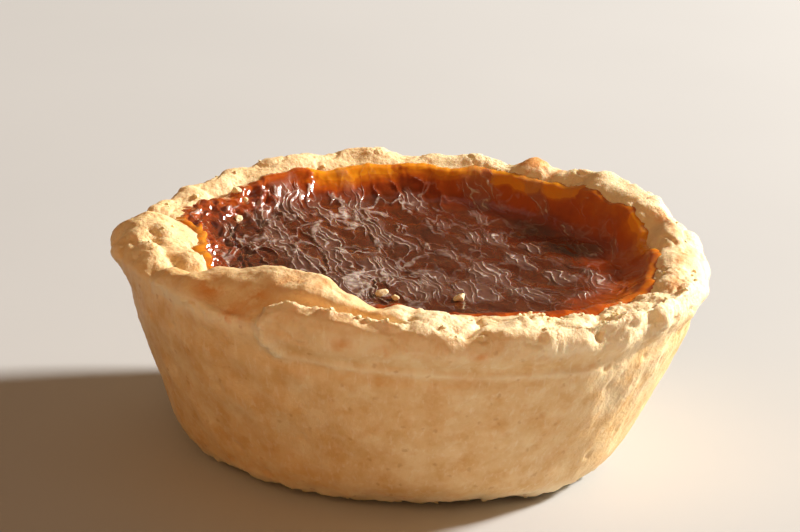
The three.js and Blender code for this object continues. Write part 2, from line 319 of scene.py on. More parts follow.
treacle, tree, output = new_material("set_treacle")
place = node(tree, "TexCoord").outputs["Object"]
kept = {name: node(tree, "Attribute", attribute_name=name).outputs["Fac"] for name in (
    "film", "wet", "wrinkled", "beside", "gathered", "wander", "window_edge", "long", "tight")}
crumbs_inside = node(tree, "TexNoise", {
    "Vector": place, "Scale": PER_MM / UNEVEN_CRUMBS_MM, "Detail": 4.0, "Roughness": SPOT_ROUGHNESS})
thinness = node(tree, "Math", {0: crumbs_inside, 1: 0.3, 2: kept["film"]}, operation="MULTIPLY_ADD")
syrup = graded(node(tree, "ValToRGB", {"Fac": thinness}), (0.06, "#45190c"), (0.22, "#56240f"),
               (0.45, "#853410"), (0.7, "#ad4e10"), (0.95, "#c76e14"), (1.0, "#dc8a18"))

# %% Fine lines in the skin
half_turns = node(tree, "Math", {0: kept["beside"], 1: math.pi}, operation="MULTIPLY")
swing = node(tree, "Math", {0: half_turns}, operation="SINE")  # 0 on each small wrinkle
off_small = node(tree, "Math", {0: swing}, operation="ABSOLUTE")
off_wander = node(tree, "Math", {0: kept["wander"]}, operation="ABSOLUTE")
drawn = 0.0
for off_line, fades, gone, strength, where in (
        (off_small, 0.1, 0.5, 1.0, "gathered"),
        (off_wander, 0.01, 0.05, 1.0, "long"),
        (kept["window_edge"], 0.02, 0.09, 0.8, "long")):
    near = node(tree, "MapRange", {
        "Value": off_line, "From Min": fades, "From Max": gone, "To Min": strength, "To Max": 0.0},
        interpolation_type="SMOOTHSTEP")
    line = node(tree, "Math", {0: near, 1: kept[where]}, operation="MULTIPLY")
    drawn = node(tree, "Math", {0: drawn, 1: line}, operation="MAXIMUM")
drawn = node(tree, "Math", {0: drawn, 1: kept["tight"]}, operation="MULTIPLY")

# %% Surface of set treacle
BROKEN_MM = 0.8  # the painted highlight on a line shows in pieces of about this length
LINE_HEIGHT_MM = 0.1
SYRUP_SCATTER_MM = 1.5

# painted sheen: where small wrinkles crowd, the syrup's colour is greyed for the light they catch
painted_sheen_share = node(tree, "Math", {0: kept["wrinkled"], 1: 0.32}, operation="MULTIPLY")
skin_with_painted_sheen = node(tree, "MixRGB", {"Fac": painted_sheen_share, "Color1": syrup, "Color2": linear("#7d6357")})
# painted highlight: the lines are painted paler, in broken pieces, for the light that each crest catches
pieces_of_line = node(tree, "TexNoise", {
    "Vector": place, "Scale": PER_MM / BROKEN_MM, "Detail": 3.0, "Roughness": SPOT_ROUGHNESS})
broken_highlight = node(tree, "MapRange", {
    "Value": pieces_of_line, "From Min": 0.4, "From Max": 0.6, "To Min": 0.25, "To Max": 0.85},
    interpolation_type="SMOOTHSTEP")
painted_highlight_share = node(tree, "Math", {0: broken_highlight, 1: drawn}, operation="MULTIPLY")
# the painted highlight's colour, laid over the lines
skin_with_painted_highlights = node(tree, "MixRGB", {"Fac": painted_highlight_share, "Color1": skin_with_painted_sheen, "Color2": linear("#c9bbb2")})
puckers = node(tree, "Bump", {"Height": drawn, "Strength": 0.7, "Distance": LINE_HEIGHT_MM * MM})
wet_coat = node(tree, "Math", {0: kept["wet"], 1: 0.8}, operation="MULTIPLY")
dull = node(tree, "MapRange", {
    "Value": kept["wrinkled"], "From Max": 0.7, "To Min": 0.14, "To Max": 0.30},
    interpolation_type="SMOOTHSTEP")
syrup_skin = node(tree, "BsdfPrincipled", {
    "Base Color": skin_with_painted_highlights, "Roughness": dull, "IOR": 1.49, "Subsurface Weight": 0.35,
    "Subsurface Radius": (1.0, 0.32, 0.08), "Subsurface Scale": SYRUP_SCATTER_MM * MM,
    "Coat Weight": wet_coat, "Coat Roughness": 0.07, "Coat IOR": 1.5, "Normal": puckers})
tree.links.new(syrup_skin.outputs["BSDF"], output.inputs["Surface"])
print("nodes of set treacle:", len(tree.nodes))

# %% [markdown]
# ## A finer skin of dough
#
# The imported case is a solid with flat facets, and dough has none. It was turned round an axis, so its
# points form a grid: for each step of azimuth one outline, which runs from the middle of the underside
# out, up the wall, over the rim and down into the hollow. Read back as a grid, it can be laid again
# along smooth curves through the same points, with more points where the detail is.

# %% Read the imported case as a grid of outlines
TURNING_AXIS_MM = np.array([0.675, 0.133])
POLE_EDGES = 20  # only the two points on the axis have more edges than this


def azimuth_of(point):
    """Degrees round the turning axis: 0 at the right, 90 behind, 180 at the left, 270 in front."""
    away = np.array(point[:2]) - TURNING_AXIS_MM
    return math.degrees(math.atan2(away[1], away[0])) % 360


def is_pole(vert):
    return len(vert.link_edges) > POLE_EDGES


def outline_from(low_pole, first):
    """Walks from one point on the axis to the other and keeps to one azimuth on the way."""
    line, azimuth = [low_pole, first], azimuth_of(first.co)
    while not is_pole(line[-1]):
        ahead = [edge.other_vert(line[-1]) for edge in line[-1].link_edges]
        line.append(min(
            (v for v in ahead if v not in line[-2:]),
            key=lambda v: -1 if is_pole(v) else abs((azimuth_of(v.co) - azimuth + 180) % 360 - 180)))
    return azimuth, [tuple(v.co) for v in line]


def outlines_of(node_name):
    """A turned solid in mm, as an array of steps of azimuth by points along the outline by x, y, z."""
    solid = bmesh.new()
    solid.from_mesh(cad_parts[node_name].data)
    solid.transform(Matrix.Scale(1 / MM, 4))
    bmesh.ops.remove_doubles(solid, verts=solid.verts, dist=0.001)
    low_pole = min((v for v in solid.verts if is_pole(v)), key=lambda v: v.co.z)
    lines = sorted(outline_from(low_pole, edge.other_vert(low_pole)) for edge in low_pole.link_edges)
    solid.free()
    return np.array([line for _, line in lines])


case_outlines = outlines_of("pastry_case")
print("steps of azimuth, points along an outline:", case_outlines.shape[:2])

# %% Lay a finer grid along smooth curves
FINE_COLUMNS = 640
ROW_GAPS_MM = (  # up to this point of the outline, the rows are this far apart
    (1, 6.0), (4, 0.7), (9, 0.55), (24, 0.27), (27, 2.5), (28, 8.0))


def smooth_rows(values, lengths, places):
    """Values along axis 0 of an array, read between its rows by cubic curves through every row."""
    slopes = np.diff(values, axis=0) / lengths[:, None, None]
    before, after = lengths[:-1, None, None], lengths[1:, None, None]
    tangents = np.concatenate([
        slopes[:1], (slopes[:-1] * after + slopes[1:] * before) / (before + after), slopes[-1:]])
    start = np.minimum(places.astype(int), len(lengths) - 1)
    t = (places - start)[:, None, None]
    length = lengths[start][:, None, None]
    return (values[start] * (1 + 2 * t) * (1 - t) ** 2 + tangents[start] * length * t * (1 - t) ** 2
            + values[start + 1] * t * t * (3 - 2 * t) + tangents[start + 1] * length * t * t * (t - 1))


def finer_grid(outlines, columns, row_gaps):
    """Outlines laid again with a number of columns round the axis and with rows at given gaps."""
    lengths = np.linalg.norm(np.diff(outlines, axis=1), axis=2).mean(axis=0)
    places, station = [0.0], 0
    for last, gap in row_gaps:
        for _ in range(station, last):
            count = max(1, round(lengths[station] / gap))
            places += [station + (i + 1) / count for i in range(count)]
            station += 1
    rows = smooth_rows(outlines.swapaxes(0, 1), lengths, np.array(places))
    steps = len(outlines)
    ring = np.concatenate([rows[:, -2:], rows, rows[:, :3]], axis=1).swapaxes(0, 1)
    turns = 2 + np.arange(columns) * steps / columns
    return smooth_rows(ring, np.ones(len(ring) - 1), turns), np.array(places)


skin, row_places = finer_grid(case_outlines, FINE_COLUMNS, ROW_GAPS_MM)
columns, rows = skin.shape[:2]
print("columns:", columns, "rows:", rows, "points:", columns * rows)


# %% Which way the skin faces
def rise(value, start, end):
    """0 before start, 1 after end and smooth between them."""
    t = np.clip((value - start) / (end - start), 0, 1)
    return t * t * (3 - 2 * t)


def facing(grid):
    """Unit normals of a closed grid of columns and rows."""
    across = np.roll(grid, -1, axis=0) - np.roll(grid, 1, axis=0)
    along = np.gradient(grid, axis=1)
    normals = np.cross(across, along)
    normals /= np.maximum(np.linalg.norm(normals, axis=2, keepdims=True), 1e-9)
    normals[:, 0], normals[:, -1] = (0, 0, -1), (0, 0, 1)
    return normals


def softened(lines, sigma, hold):
    """Lines with their bends softened over some of their points. Where hold is 1 they stay put."""
    reach = int(3 * sigma)
    weights = np.exp(-(np.arange(-reach, reach + 1) / sigma) ** 2 / 2)
    padded = np.pad(lines, ((0, 0), (reach, reach), (0, 0)), mode="edge")
    soft = sum(w * padded[:, i:i + lines.shape[1]] for i, w in enumerate(weights / weights.sum()))
    return soft * (1 - hold[:, None]) + lines * hold[:, None]


UNDER_RIM = (9.0, 9.8, 12.0, 13.0)  # stations between which the corner under the rim is rounded
CORNER_ROWS = 3.5  # the bend is spread over about this many rows
keep = 1 - rise(row_places, *UNDER_RIM[:2]) * (1 - rise(row_places, *UNDER_RIM[2:]))
skin = softened(skin, CORNER_ROWS, keep)
points = skin.reshape(-1, 3)
outward = facing(skin).reshape(-1, 3)
station = np.tile(row_places, columns)
from_axis = points[:, :2] - TURNING_AXIS_MM
azimuth = np.degrees(np.arctan2(from_axis[:, 1], from_axis[:, 0])) % 360
height = points[:, 2]
on_wall = station == 8
print("normals point out of the wall:", bool((outward[:, :2] * from_axis).sum(1)[on_wall].min() > 0))

# %% [markdown]
# ## Where on the dough a point is
#
# The dough's texture changes from place to place: smooth on the fold, uneven on the lobe, crumbled on
# the right of the near rim. Soft masks say how much of each there is at every point, from 0 to 1.
# Along the outline a place is a station: 1 is the foot, 9 the top of the wall, 13 to 17 the face of the
# rim, 18 to 20 its top and 24 the edge of the film.

# %% Masks
def span(start, end, soft, at=None):
    """1 over a span of azimuth in degrees, fading out over soft degrees past its ends."""
    middle, half = (start + end) / 2, (end - start) / 2
    off = np.abs(((azimuth if at is None else at) - middle + 180) % 360 - 180)
    return 1 - rise(off, half, half + soft)


RIM_END_STATION = 24  # where the film begins, inside the rim
rim = rise(station, 10.0, 12.5) * (1 - rise(station, 23.0, 24.0))
rim_top = rise(station, 13.5, 16.0) * (1 - rise(station, 23.0, 24.0))
wall = rise(station, 1.0, 2.5) * (1 - rise(station, 10.5, 12.0))
foot = rise(station, 0.8, 1.2) * (1 - rise(station, 2.0, 4.0))

lobe = span(160, 203, 7) * rim
fold = span(209, 262, 6) * rim_top
crumbled = span(299, 346, 9) * rim_top + span(308, 338, 6) * (rim - rim_top).clip(0, 1)
far_rim = span(66, 158, 8) * rim_top
smooth_slope = span(343, 397, 10) * rise(station, 17.5, 19.0) * rim  # inside the rim, on the right
print("points on the rim:", int(rim.sum()), "on the wall:", int(wall.sum()))

# %% [markdown]
# ## The texture of shortcrust
#
# Shortcrust is flour rubbed into fat and barely worked, so it breaks into granules and doesn't
# stretch. Baked, it shows low lumps, granules of one or two millimetres, cracks where it was pinched
# and pores where steam came out. Each of those is a field of heights over the surface, made from
# noise at the feature's real size, and the points move along their normals by the sum.

# %% Fields of height
def cloud(places, size_mm, octaves=3, seed=0.0):
    """Soft noise from about -1 to 1, with lumps of one size in millimetres and finer ones on them."""
    shift = Vector((seed, 2.3 * seed, -1.7 * seed))
    return np.array([noise.fractal(Vector(p) + shift, 0.9, 2.0, octaves) for p in places / size_mm])


def cells(places, seed):
    """Voronoi cells one unit wide: distances to the two nearest centres, and a number for each cell."""
    shift = Vector((seed, -1.9 * seed, 3.1 * seed))
    found = [noise.voronoi(Vector(p) + shift) for p in places]
    near = np.array([distances[:2] for distances, _ in found])
    centres = np.array([centre[0] for _, centre in found])
    return near[:, 0], near[:, 1], (np.sin(centres @ (91.7, 47.3, 13.1)) * 43.7) % 1


def granules(places, size_mm, seed):
    """Rounded granules that touch: 1 on top of each and 0 in the cracks between them."""
    first, second, _ = cells(places / size_mm, seed)
    return np.clip(1 - (first / np.maximum(second, 1e-6)) ** 2, 0, 1)


def flakes(places, size_mm, seed):
    """Flat flakes, each at its own height from 0 to 1, with a crack round it."""
    first, second, level = cells(places / size_mm, seed)
    return level * rise(second - first, 0.0, 0.25)


def pits(places, size_mm, share, seed):
    """Round pits, one in a share of the cells: 1 at the bottom of each and 0 round it."""
    first, _, chosen = cells(places / size_mm, seed)
    return np.where(chosen < share, np.clip(1 - (first / 0.3) ** 2, 0, 1), 0)


# %% Paths over the dough
wobble = np.stack([cloud(points, 1.5, 2, seed) for seed in (41.0, 42.0, 43.0)], axis=1)


def from_path(path, shaken=0.0):
    """Each point's distance in mm from a path of straight legs, less straight the more it is shaken."""
    nearest = np.full(len(points), 1e6)
    places = points + shaken * wobble
    for start, end in zip(np.array(path[:-1], float), np.array(path[1:], float)):
        leg = end - start
        share = np.clip((places - start) @ leg / (leg @ leg), 0, 1)
        nearest = np.minimum(nearest, np.linalg.norm(places - start - share[:, None] * leg, axis=1))
    return nearest


def roll(path, wide_mm, shaken=0.0):
    """A soft roll along a path: 1 on it, and 0 past about twice its width."""
    return np.exp(-(from_path(path, shaken) / wide_mm) ** 2)


def towards_axis(path, step_mm):
    """A path moved sideways, towards the middle of the tart."""
    return [(x * (1 - step_mm / math.hypot(x, y)), y * (1 - step_mm / math.hypot(x, y)), z)
            for x, y, z in path]


# %% [markdown]
# ## What the baker's fingers left
#
# On the left a lobe of dough leans over the wall, with a channel between its two rolls, and the inner
# roll swells where it meets the pool. Right of it, a long smooth fold lies over the rim. Below the
# fold's right half the dough was pressed out over the edge of the tin: it forms a band whose left end
# and upper edge are torn, and a low seam runs under it. Each is a path over the dough, and the dough
# rises or sinks near the path. Noise shakes a torn path, so that it isn't a clean line.

# %% Rolls, channels and torn edges
LOBE_CHANNEL = [(-34.2, -7.4, 28.9), (-32.1, -11.8, 28.7), (-29.8, -15.9, 27.7)]
LOBE_INNER_ROLL = [(-34.1, -0.2, 29.4), (-32.6, -6.1, 28.9), (-30.0, -8.6, 27.9), (-28.4, -11.6, 27.6),
                   (-27.0, -14.6, 27.6)]
BY_THE_POOL = LOBE_INNER_ROLL[3:]
LOBE_KNOBS = [(-35.8, 0.4, 29.9), (-34.5, -2.8, 29.6), (-33.5, -4.6, 29.3), (-36.6, -6.5, 29.5)]
BAND_EDGE = [(-17.3, -34.0, 29.0), (-15.0, -34.4, 29.8), (-12.2, -35.1, 29.8), (-9.9, -36.9, 29.8),
             (-7.2, -36.6, 29.8), (-4.6, -37.8, 29.5), (-0.9, -38.2, 29.5)]
BAND_END = [(-17.6, -34.3, 28.6), (-18.9, -34.0, 27.3), (-18.3, -34.7, 25.8), (-16.7, -34.6, 24.2)]
BELOW_BAND = [(-16.7, -34.2, 23.4), (-11.8, -36.0, 23.4), (-7.5, -37.0, 23.3), (-0.4, -37.9, 23.2),
              (5.7, -37.5, 23.1), (12.8, -35.7, 22.8), (19.1, -33.0, 22.6), (25.0, -28.8, 22.0)]
BACK_LEFT_KNOB = (151, 166)  # degrees
RIGHT_CREST = [(34.6, 12.0, 31.0), (35.9, 8.0, 30.8), (36.9, 2.0, 29.8), (36.4, -6.0, 29.3),
               (34.9, -14.0, 28.9)]
PINCHED_CREASES = [
    [(1.4, -31.5, 29.4), (0.4, -35.0, 29.6), (0.8, -38.2, 29.0)],
    [(8.7, -31.0, 29.3), (9.6, -34.5, 29.4), (7.6, -38.4, 28.8)],
    [(15.6, -30.2, 29.1), (15.9, -34.0, 29.3), (17.4, -37.0, 28.2)],
    [(24.4, -26.4, 28.8), (23.8, -29.5, 28.6), (25.2, -32.2, 26.4)]]

ragged = 0.4 * cloud(points, 1.5, 2, 21.0)
relief = 0.55 * roll(LOBE_INNER_ROLL, 1.6) + 0.8 * roll(BY_THE_POOL, 1.8) - 0.75 * roll(LOBE_CHANNEL, 0.8)
for knob in LOBE_KNOBS:
    relief += 0.35 * np.exp(-(np.linalg.norm(points - knob, axis=1) / 1.4) ** 2)
torn = np.clip(roll(BAND_EDGE, 0.8, 0.5) + roll(BAND_END, 1.1, 0.8), 0, 1)
relief += 0.6 * span(*BACK_LEFT_KNOB, 4) * rim_top
relief += (0.8 + ragged) * roll(BAND_EDGE, 0.6, 0.5) - 1.3 * roll(towards_axis(BAND_EDGE, 1.6), 0.8)
relief += (0.5 + ragged) * roll(BAND_END, 0.8, 0.8)
relief += 0.25 * roll(BELOW_BAND, 0.6)
for crease in PINCHED_CREASES:
    relief -= (0.6 + ragged) * roll(crease, 0.5)
relief[station > RIM_END_STATION] = 0
print("rolls and channels, mm:", relief.min().round(2), "to", relief.max().round(2))

# %% Streaks, and shares of granular dough
RIM_RADIUS_MM = 37.0
along_rim = np.radians(azimuth) * RIM_RADIUS_MM
outline_mm = np.linalg.norm(np.diff(case_outlines, axis=1), axis=2).mean(axis=0).cumsum()
at_row = np.interp(row_places, np.arange(len(outline_mm) + 1), np.append(0, outline_mm))
up_outline = np.tile(at_row, columns)
streaked = np.stack([along_rim / 0.9, up_outline / 2.6, 0 * along_rim], axis=1)  # flakes are long cells
streaked += 0.5 * np.stack([cloud(points, 2.0, 2, seed) for seed in (31.0, 32.0, 33.0)], axis=1)

scraped = wall * span(313, 334, 5) * rise(height, 12, 16) * rise(cloud(points, 4.0, 2, 9.9), -0.3, 0.2)
loose_rim = rim_top * (1 - fold)
here_and_there = (1 - 0.8 * lobe) * rise(cloud(points, 8.0, 2, 7.1), 0.1, 0.5)
granular_share = np.clip(
    0.32 * lobe * rise(station, 15.5, 17.0) + 0.12 * far_rim + 0.1 * crumbled + 0.8 * torn
    + 0.1 * loose_rim + 0.5 * loose_rim * here_and_there, 0, 1)
granular_share *= 1 - 0.85 * smooth_slope
print("share of the rim that is granular:", granular_share[rim_top > 0.5].mean().round(2))

# %% Lumps, granules, flakes and pores
soft_lumps = cloud(points, 4.5, 3, 1.0)
cracks = np.exp(-(cloud(points, 6.5, 2, 4.0) / 0.04) ** 2)
large_granules, small_granules = granules(points, 2.1, 2.0) - 0.5, granules(points, 0.9, 3.0) - 0.5

relief += rim * (0.3 - 0.15 * smooth_slope - 0.18 * lobe) * soft_lumps
relief -= (rim - fold).clip(0, 1) * 0.3 * cracks
relief += granular_share * (0.4 * large_granules + 0.22 * small_granules)
relief += rim * (1 - granular_share) * 0.10 * (granules(points, 1.3, 2.5) - 0.5)
relief += crumbled * (1 - 0.7 * smooth_slope) * (
    0.22 * (flakes(streaked, 0.8, 8.0) - 0.4) + 0.16 * cloud(streaked, 0.8, 3, 8.5))
relief += wall * (0.1 * cloud(points, 2.6, 4, 5.0) + 0.07 * granules(points, 1.1, 2.7)
                  - 0.3 * pits(points, 2.4, 0.22, 6.0))
relief += scraped * (0.16 * (flakes(streaked, 0.9, 9.5) - 0.4) + 0.07 * cloud(streaked, 0.7, 2, 9.7))
relief += foot * 0.45 * cloud(points, 2.4, 3, 9.0)
relief[(station > RIM_END_STATION) | (station < 0.9)] = 0
skin_points = points + outward * relief[:, None]
skin_points[:, 2] = np.maximum(skin_points[:, 2], 0)
print("relief on the case, mm:", relief.min().round(2), "to", relief.max().round(2))


# %% Helpers that build a piece
def grid_faces(columns, rows):
    """Quads of a grid that closes on itself, and a fan of triangles at each end of it."""
    point = np.arange(columns * rows).reshape(columns, rows)
    ahead = np.roll(point, -1, axis=0)
    quads = np.stack([point[:, 1:-2], ahead[:, 1:-2], ahead[:, 2:-1], point[:, 2:-1]], axis=-1)
    low = [(point[0, 0], ahead[i, 1], point[i, 1]) for i in range(columns)]
    high = [(point[i, -2], ahead[i, -2], point[0, -1]) for i in range(columns)]
    return [tuple(map(int, face)) for face in [*quads.reshape(-1, 4), *low, *high]]


def new_piece(name, points_mm, faces, material):
    """An object of smooth-shaded faces, with one material."""
    mesh = bpy.data.meshes.new(name)
    mesh.from_pydata((points_mm * MM).tolist(), [], faces)
    mesh.polygons.foreach_set("use_smooth", [True] * len(mesh.polygons))
    mesh.materials.append(material)
    piece = bpy.data.objects.new(name, mesh)
    bpy.context.scene.collection.objects.link(piece)
    return piece


def put_attribute(piece, name, values):
    """Keeps one number for each point, for the piece's material to read."""
    data = piece.data.attributes.new(name, "FLOAT", "POINT").data
    data.foreach_set("value", np.asarray(values, np.float32))


# %% [markdown]
# ## The sunken filling
#
# Treacle, syrup and breadcrumbs are poured in hot. They sink as they cool, the skin that forms on top
# is left too large for what is under it, and it wrinkles. A thin film stays behind where the filling
# first stood, right up the inside of the rim.
#
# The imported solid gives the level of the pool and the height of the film, again as outlines. A
# new surface is laid over them as a round grid with points 0.2 mm apart, so that there is enough of it
# to wrinkle. The grid is a square bent into a disc, which keeps its cells nearly even from the middle
# to the edge.

# %% The top of the filling, from its middle to its edge
FILM_EDGE_STATION = 7
TURNS = 360
treacle_grid, treacle_places = finer_grid(outlines_of("treacle_filling"), TURNS, ((19, 0.4),))
top_lines = treacle_grid[:, treacle_places >= FILM_EDGE_STATION][:, ::-1]
lengths = np.linalg.norm(np.diff(top_lines, axis=1), axis=2).cumsum(axis=1)
lengths = np.concatenate([np.zeros((TURNS, 1)), lengths], axis=1)
SHARES = np.linspace(0, 1, 181)
even_lines = np.array([
    [np.interp(SHARES, length / length[-1], line[:, axis]) for axis in range(3)]
    for length, line in zip(lengths, top_lines)]).transpose(0, 2, 1)
print("from the middle over the film to its edge, mm:", lengths[:, -1].min().round(1), "to",
      lengths[:, -1].max().round(1))

SYRUP_BEND_SHARE = 0.055  # syrup climbs the rim in a curve of about 2 mm
hold_ends = np.maximum(1 - rise(SHARES, 0.0, 0.1), rise(SHARES, 0.94, 1.0))
even_lines = softened(even_lines, SYRUP_BEND_SHARE * len(SHARES), hold_ends)

# %% A disc of even cells
CELLS_ACROSS, CELLS_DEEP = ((400, 230))


def disc_places(across, deep):
    """Places of a disc in rows from left to right, as angle in degrees and share of the radius."""
    a, b = np.meshgrid(np.linspace(-1, 1, across + 1), np.linspace(-1, 1, deep + 1))
    wide = np.abs(a) > np.abs(b)
    share = np.where(wide, a, b)
    ratio = np.divide(np.where(wide, b, a), share, out=np.zeros_like(a), where=share != 0)
    turn = np.where(wide, ratio * 45, 90 - ratio * 45)
    return np.where(share < 0, turn + 180, turn) % 360, np.abs(share)


def read_lines(lines, turn, share):
    """Places on a set of outlines at an angle and a share of their length, read between points."""
    column, row = turn / 360 * len(lines), share * (lines.shape[1] - 1)
    left, low = column.astype(int) % len(lines), np.minimum(row.astype(int), lines.shape[1] - 2)
    right, fx, fy = (left + 1) % len(lines), (column % 1)[..., None], (row - low)[..., None]
    return ((lines[left, low] * (1 - fx) + lines[right, low] * fx) * (1 - fy)
            + (lines[left, low + 1] * (1 - fx) + lines[right, low + 1] * fx) * fy)


turn, share = disc_places(CELLS_ACROSS, CELLS_DEEP)
top = read_lines(even_lines, turn, share)
top_normals = np.cross(np.gradient(top, axis=1), np.gradient(top, axis=0))
top_normals *= np.sign(top_normals[..., 2:]) / np.linalg.norm(top_normals, axis=2, keepdims=True)
spacings = np.linalg.norm(np.diff(top[CELLS_DEEP // 2], axis=0), axis=1)
print("grid spacing from left to right, mm:", spacings.mean().round(2))

# %% [markdown]
# ## Wrinkled skin
#
# The skin is thin and stiff, so it puckers into sharp ridges that run mostly from the far left to the
# near right. There are three kinds. Long ridges meet and part round smooth windows: those are the
# borders of Voronoi cells, stretched along the run and bent with soft noise. Single ridges wander over
# them, along the zero line of a noise. Where the skin was pushed together most, small wrinkles lie
# side by side in clusters, at an even distance that noise disturbs.
#
# The mesh carries the broad ridges. The numbers behind them are kept, because they are smooth, and the
# material draws the fine lines from them.

# %% Clusters of small wrinkles
WRINKLE_RUN = math.radians(108)  # the wrinkles run from the near right to the far left
POOL_LEVEL_MM = 25.5
CLUSTERS = (  # of small wrinkles: middle in mm, half its length along the run, half its width across it
    (-7.2, 21.5, 11.0, 2.2), (0.0, 26.5, 5.5, 1.0), (-12.0, 19.5, 6.0, 1.0), (-12.3, 11.0, 6.0, 1.3),
    (-5.0, 14.0, 7.5, 3.0), (-1.0, 8.5, 4.0, 1.6), (-17.5, 20.5, 6.0, 2.6), (-20.5, 14.5, 7.0, 2.2),
    (-18.0, 5.5, 8.0, 2.6), (-10.5, 2.0, 9.0, 3.0), (-4.0, -3.5, 8.0, 3.4), (-14.5, -3.0, 6.0, 3.0),
    (-7.0, -10.5, 6.5, 3.0), (4.4, 18.6, 2.6, 1.2), (2.5, 8.5, 2.2, 0.9), (5.5, 5.0, 3.4, 1.6),
    (9.2, 30.5, 5.0, 2.6), (9.2, 23.6, 3.4, 1.5), (16.5, 28.5, 7.0, 1.3), (20.0, 28.5, 2.4, 1.4),
    (8.2, 15.0, 3.0, 1.6), (12.0, 13.5, 4.0, 1.8), (16.0, 11.0, 3.0, 1.4), (14.8, 4.0, 5.0, 1.8),
    (24.6, 10.6, 2.8, 1.6), (28.2, 9.0, 2.6, 0.9), (21.8, 17.5, 2.4, 0.8), (10.5, -2.0, 5.5, 3.2),
    (3.5, -4.0, 5.0, 2.6), (1.5, -11.0, 5.0, 4.0), (9.0, -11.0, 5.0, 3.6), (16.0, -9.5, 4.5, 3.0),
    (20.0, -1.5, 4.0, 2.0), (26.0, -3.5, 5.0, 2.0), (23.5, -10.0, 3.0, 2.4))
RUN_WAYS = np.array([[-math.sin(WRINKLE_RUN), math.cos(WRINKLE_RUN), 0],
                     [math.cos(WRINKLE_RUN), math.sin(WRINKLE_RUN), 0], [0, 0, 1]])

skin_mm = top.reshape(-1, 3)
bend = np.stack([cloud(skin_mm / (1, 2, 1), 3.4, 3, seed) for seed in (11.0, 12.0, 13.0)], axis=1)
along_run = (skin_mm + bend * (1.3, 2.0, 0.4)) @ RUN_WAYS.T
crowded = np.zeros(len(skin_mm))
for x, y, long, wide in CLUSTERS:
    off = along_run - RUN_WAYS @ (x, y, POOL_LEVEL_MM)
    crowded = np.maximum(crowded, np.exp(-(off[:, 0] / wide) ** 2 - (off[:, 1] / long) ** 2))
crowded = rise(crowded + 0.3 * cloud(along_run / (1, 2, 1), 2.0, 2, 15.0), 0.3, 0.75)
print("share of the skin with small wrinkles:", crowded.mean().round(2))

# %% Wrinkles
APART_MM = 1.0  # from one small wrinkle to the next
left_half = rise(-skin_mm[:, 0], -6, 6)
curl = 0.75 - 0.25 * left_half
beside = along_run[:, 0] / APART_MM + curl * cloud(along_run / (1, 2.4, 1), 2.3, 3, 21.0)
gathered = crowded * rise(cloud(along_run / (0.7, 2.4, 1), 1.2, 2, 22.0), -0.6, -0.1)
first, second, _ = cells(along_run / (2.8, 10.0, 4.0), 3.0)
window_edge = second - first
long = (0.2 + 0.8 * left_half) * rise(cloud(skin_mm / (1, 2, 1), 2.2, 2, 27.0), -0.45, 0.1)
wander = cloud(along_run / (1.0, 2.6, 1.6), 4.6, 2, 19.0)
strands = np.exp(-(np.sin(math.pi * beside) / 0.75) ** 2) * gathered
wrinkle = np.maximum(np.exp(-(window_edge / 0.16) ** 2), np.exp(-(wander / 0.09) ** 2)) * long
wrinkle = np.maximum(0.6 * strands, wrinkle)
print("share of the skin on a ridge:", (wrinkle > 0.3).mean().round(2))

# %% [markdown]
# ## The film up the rim
#
# The film is what the filling left behind as it sank. It is clear and smooth in patches, where it is so
# thin that the dough shines through, and thicker between them. On the right it is painted lighter, a
# painted glow for light that comes through it from the right. On the left it stayed wet: it lies in
# small beads with a clear gloss, and each bead catches the low lamp. Wrinkles stop where it is tight.

# %% The film up the rim
FILM_PATCHES = (  # from, to in degrees, soft edge, how far down it reaches in mm, how clear it is
    (97, 120, 3, 5.4, 1.0), (75, 94, 4, 4.4, 1.0), (59, 71, 3, 4.4, 1.3), (45, 57, 3, 4.4, 1.2),
    (20, 43, 5, 4.0, 0.75), (3, 20, 6, 4.2, 0.95), (336, 365, 7, 2.6, 0.78), (122, 138, 4, 3.2, 0.6),
    (140, 165, 6, 1.4, 0.7), (170, 212, 8, 2.0, 1.2), (245, 335, 8, 0.9, 0.6))
around = turn.ravel()
uneven = cloud(skin_mm, 2.4, 3, 23.0)
out = share.ravel()  # 0 in the middle and 1 at the edge of the film
to_edge = (1 - out) * np.interp(around, np.arange(TURNS), lengths[:, -1])
from_edge = to_edge + 0.7 * uneven
lit_through = span(330, 430, 25, at=around)  # painted glow: light from the right comes through the film here, so the film is painted lighter
film = (0.34 + 0.34 * lit_through) * (1 - rise(from_edge, 1.0, 9.0 + 6.0 * lit_through)) ** 1.3
film += 0.1 * rise(-skin_mm[:, 0] + skin_mm[:, 1], 12, 30)
patches = np.zeros(len(skin_mm))
for start, end, soft, deep, clear in FILM_PATCHES:
    patch = span(start, end, soft, at=around + 2.5 * uneven)
    patch *= (1 - 0.35 * rise(from_edge, 0.2, 0.8 * deep)) * (1 - rise(from_edge, 0.55 * deep, 1.15 * deep))
    film = np.maximum(film, clear * patch)
    patches = np.maximum(patches, patch)
print("share of the skin with clear film:", (patches > 0.5).mean().round(2))

# %% The relief of the skin
near_edge = rise(out, 0.955, 0.995)
tight = (1 - 0.9 * rise(patches, 0.2, 0.6)) * (1 - 0.5 * near_edge)
wrinkle *= tight
left_film = span(138, 212, 10, at=around) * rise(out, 0.55, 0.8)
wet = np.clip(left_film + 0.4 * span(325, 375, 10, at=around) * rise(out, 0.88, 0.95), 0, 1)
swell = (0.25 + 0.75 * left_half) * cloud(along_run / (1.0, 1.8, 1.0), 3.8, 2, 17.0)
swell += 0.4 * cloud(along_run / (1.0, 1.6, 1.0), 1.5, 2, 18.0)
beads = cloud(along_run / (1.0, 1.7, 1.0), 1.2, 2, 25.0) * left_film
skin_relief = (0.22 * wrinkle + 0.22 * swell + 0.08 * crowded + 0.65 * beads) * (1 - 0.7 * near_edge)
skin_relief += 0.3 * near_edge * uneven
print("wrinkles, mm:", skin_relief.min().round(2), "to", skin_relief.max().round(2))

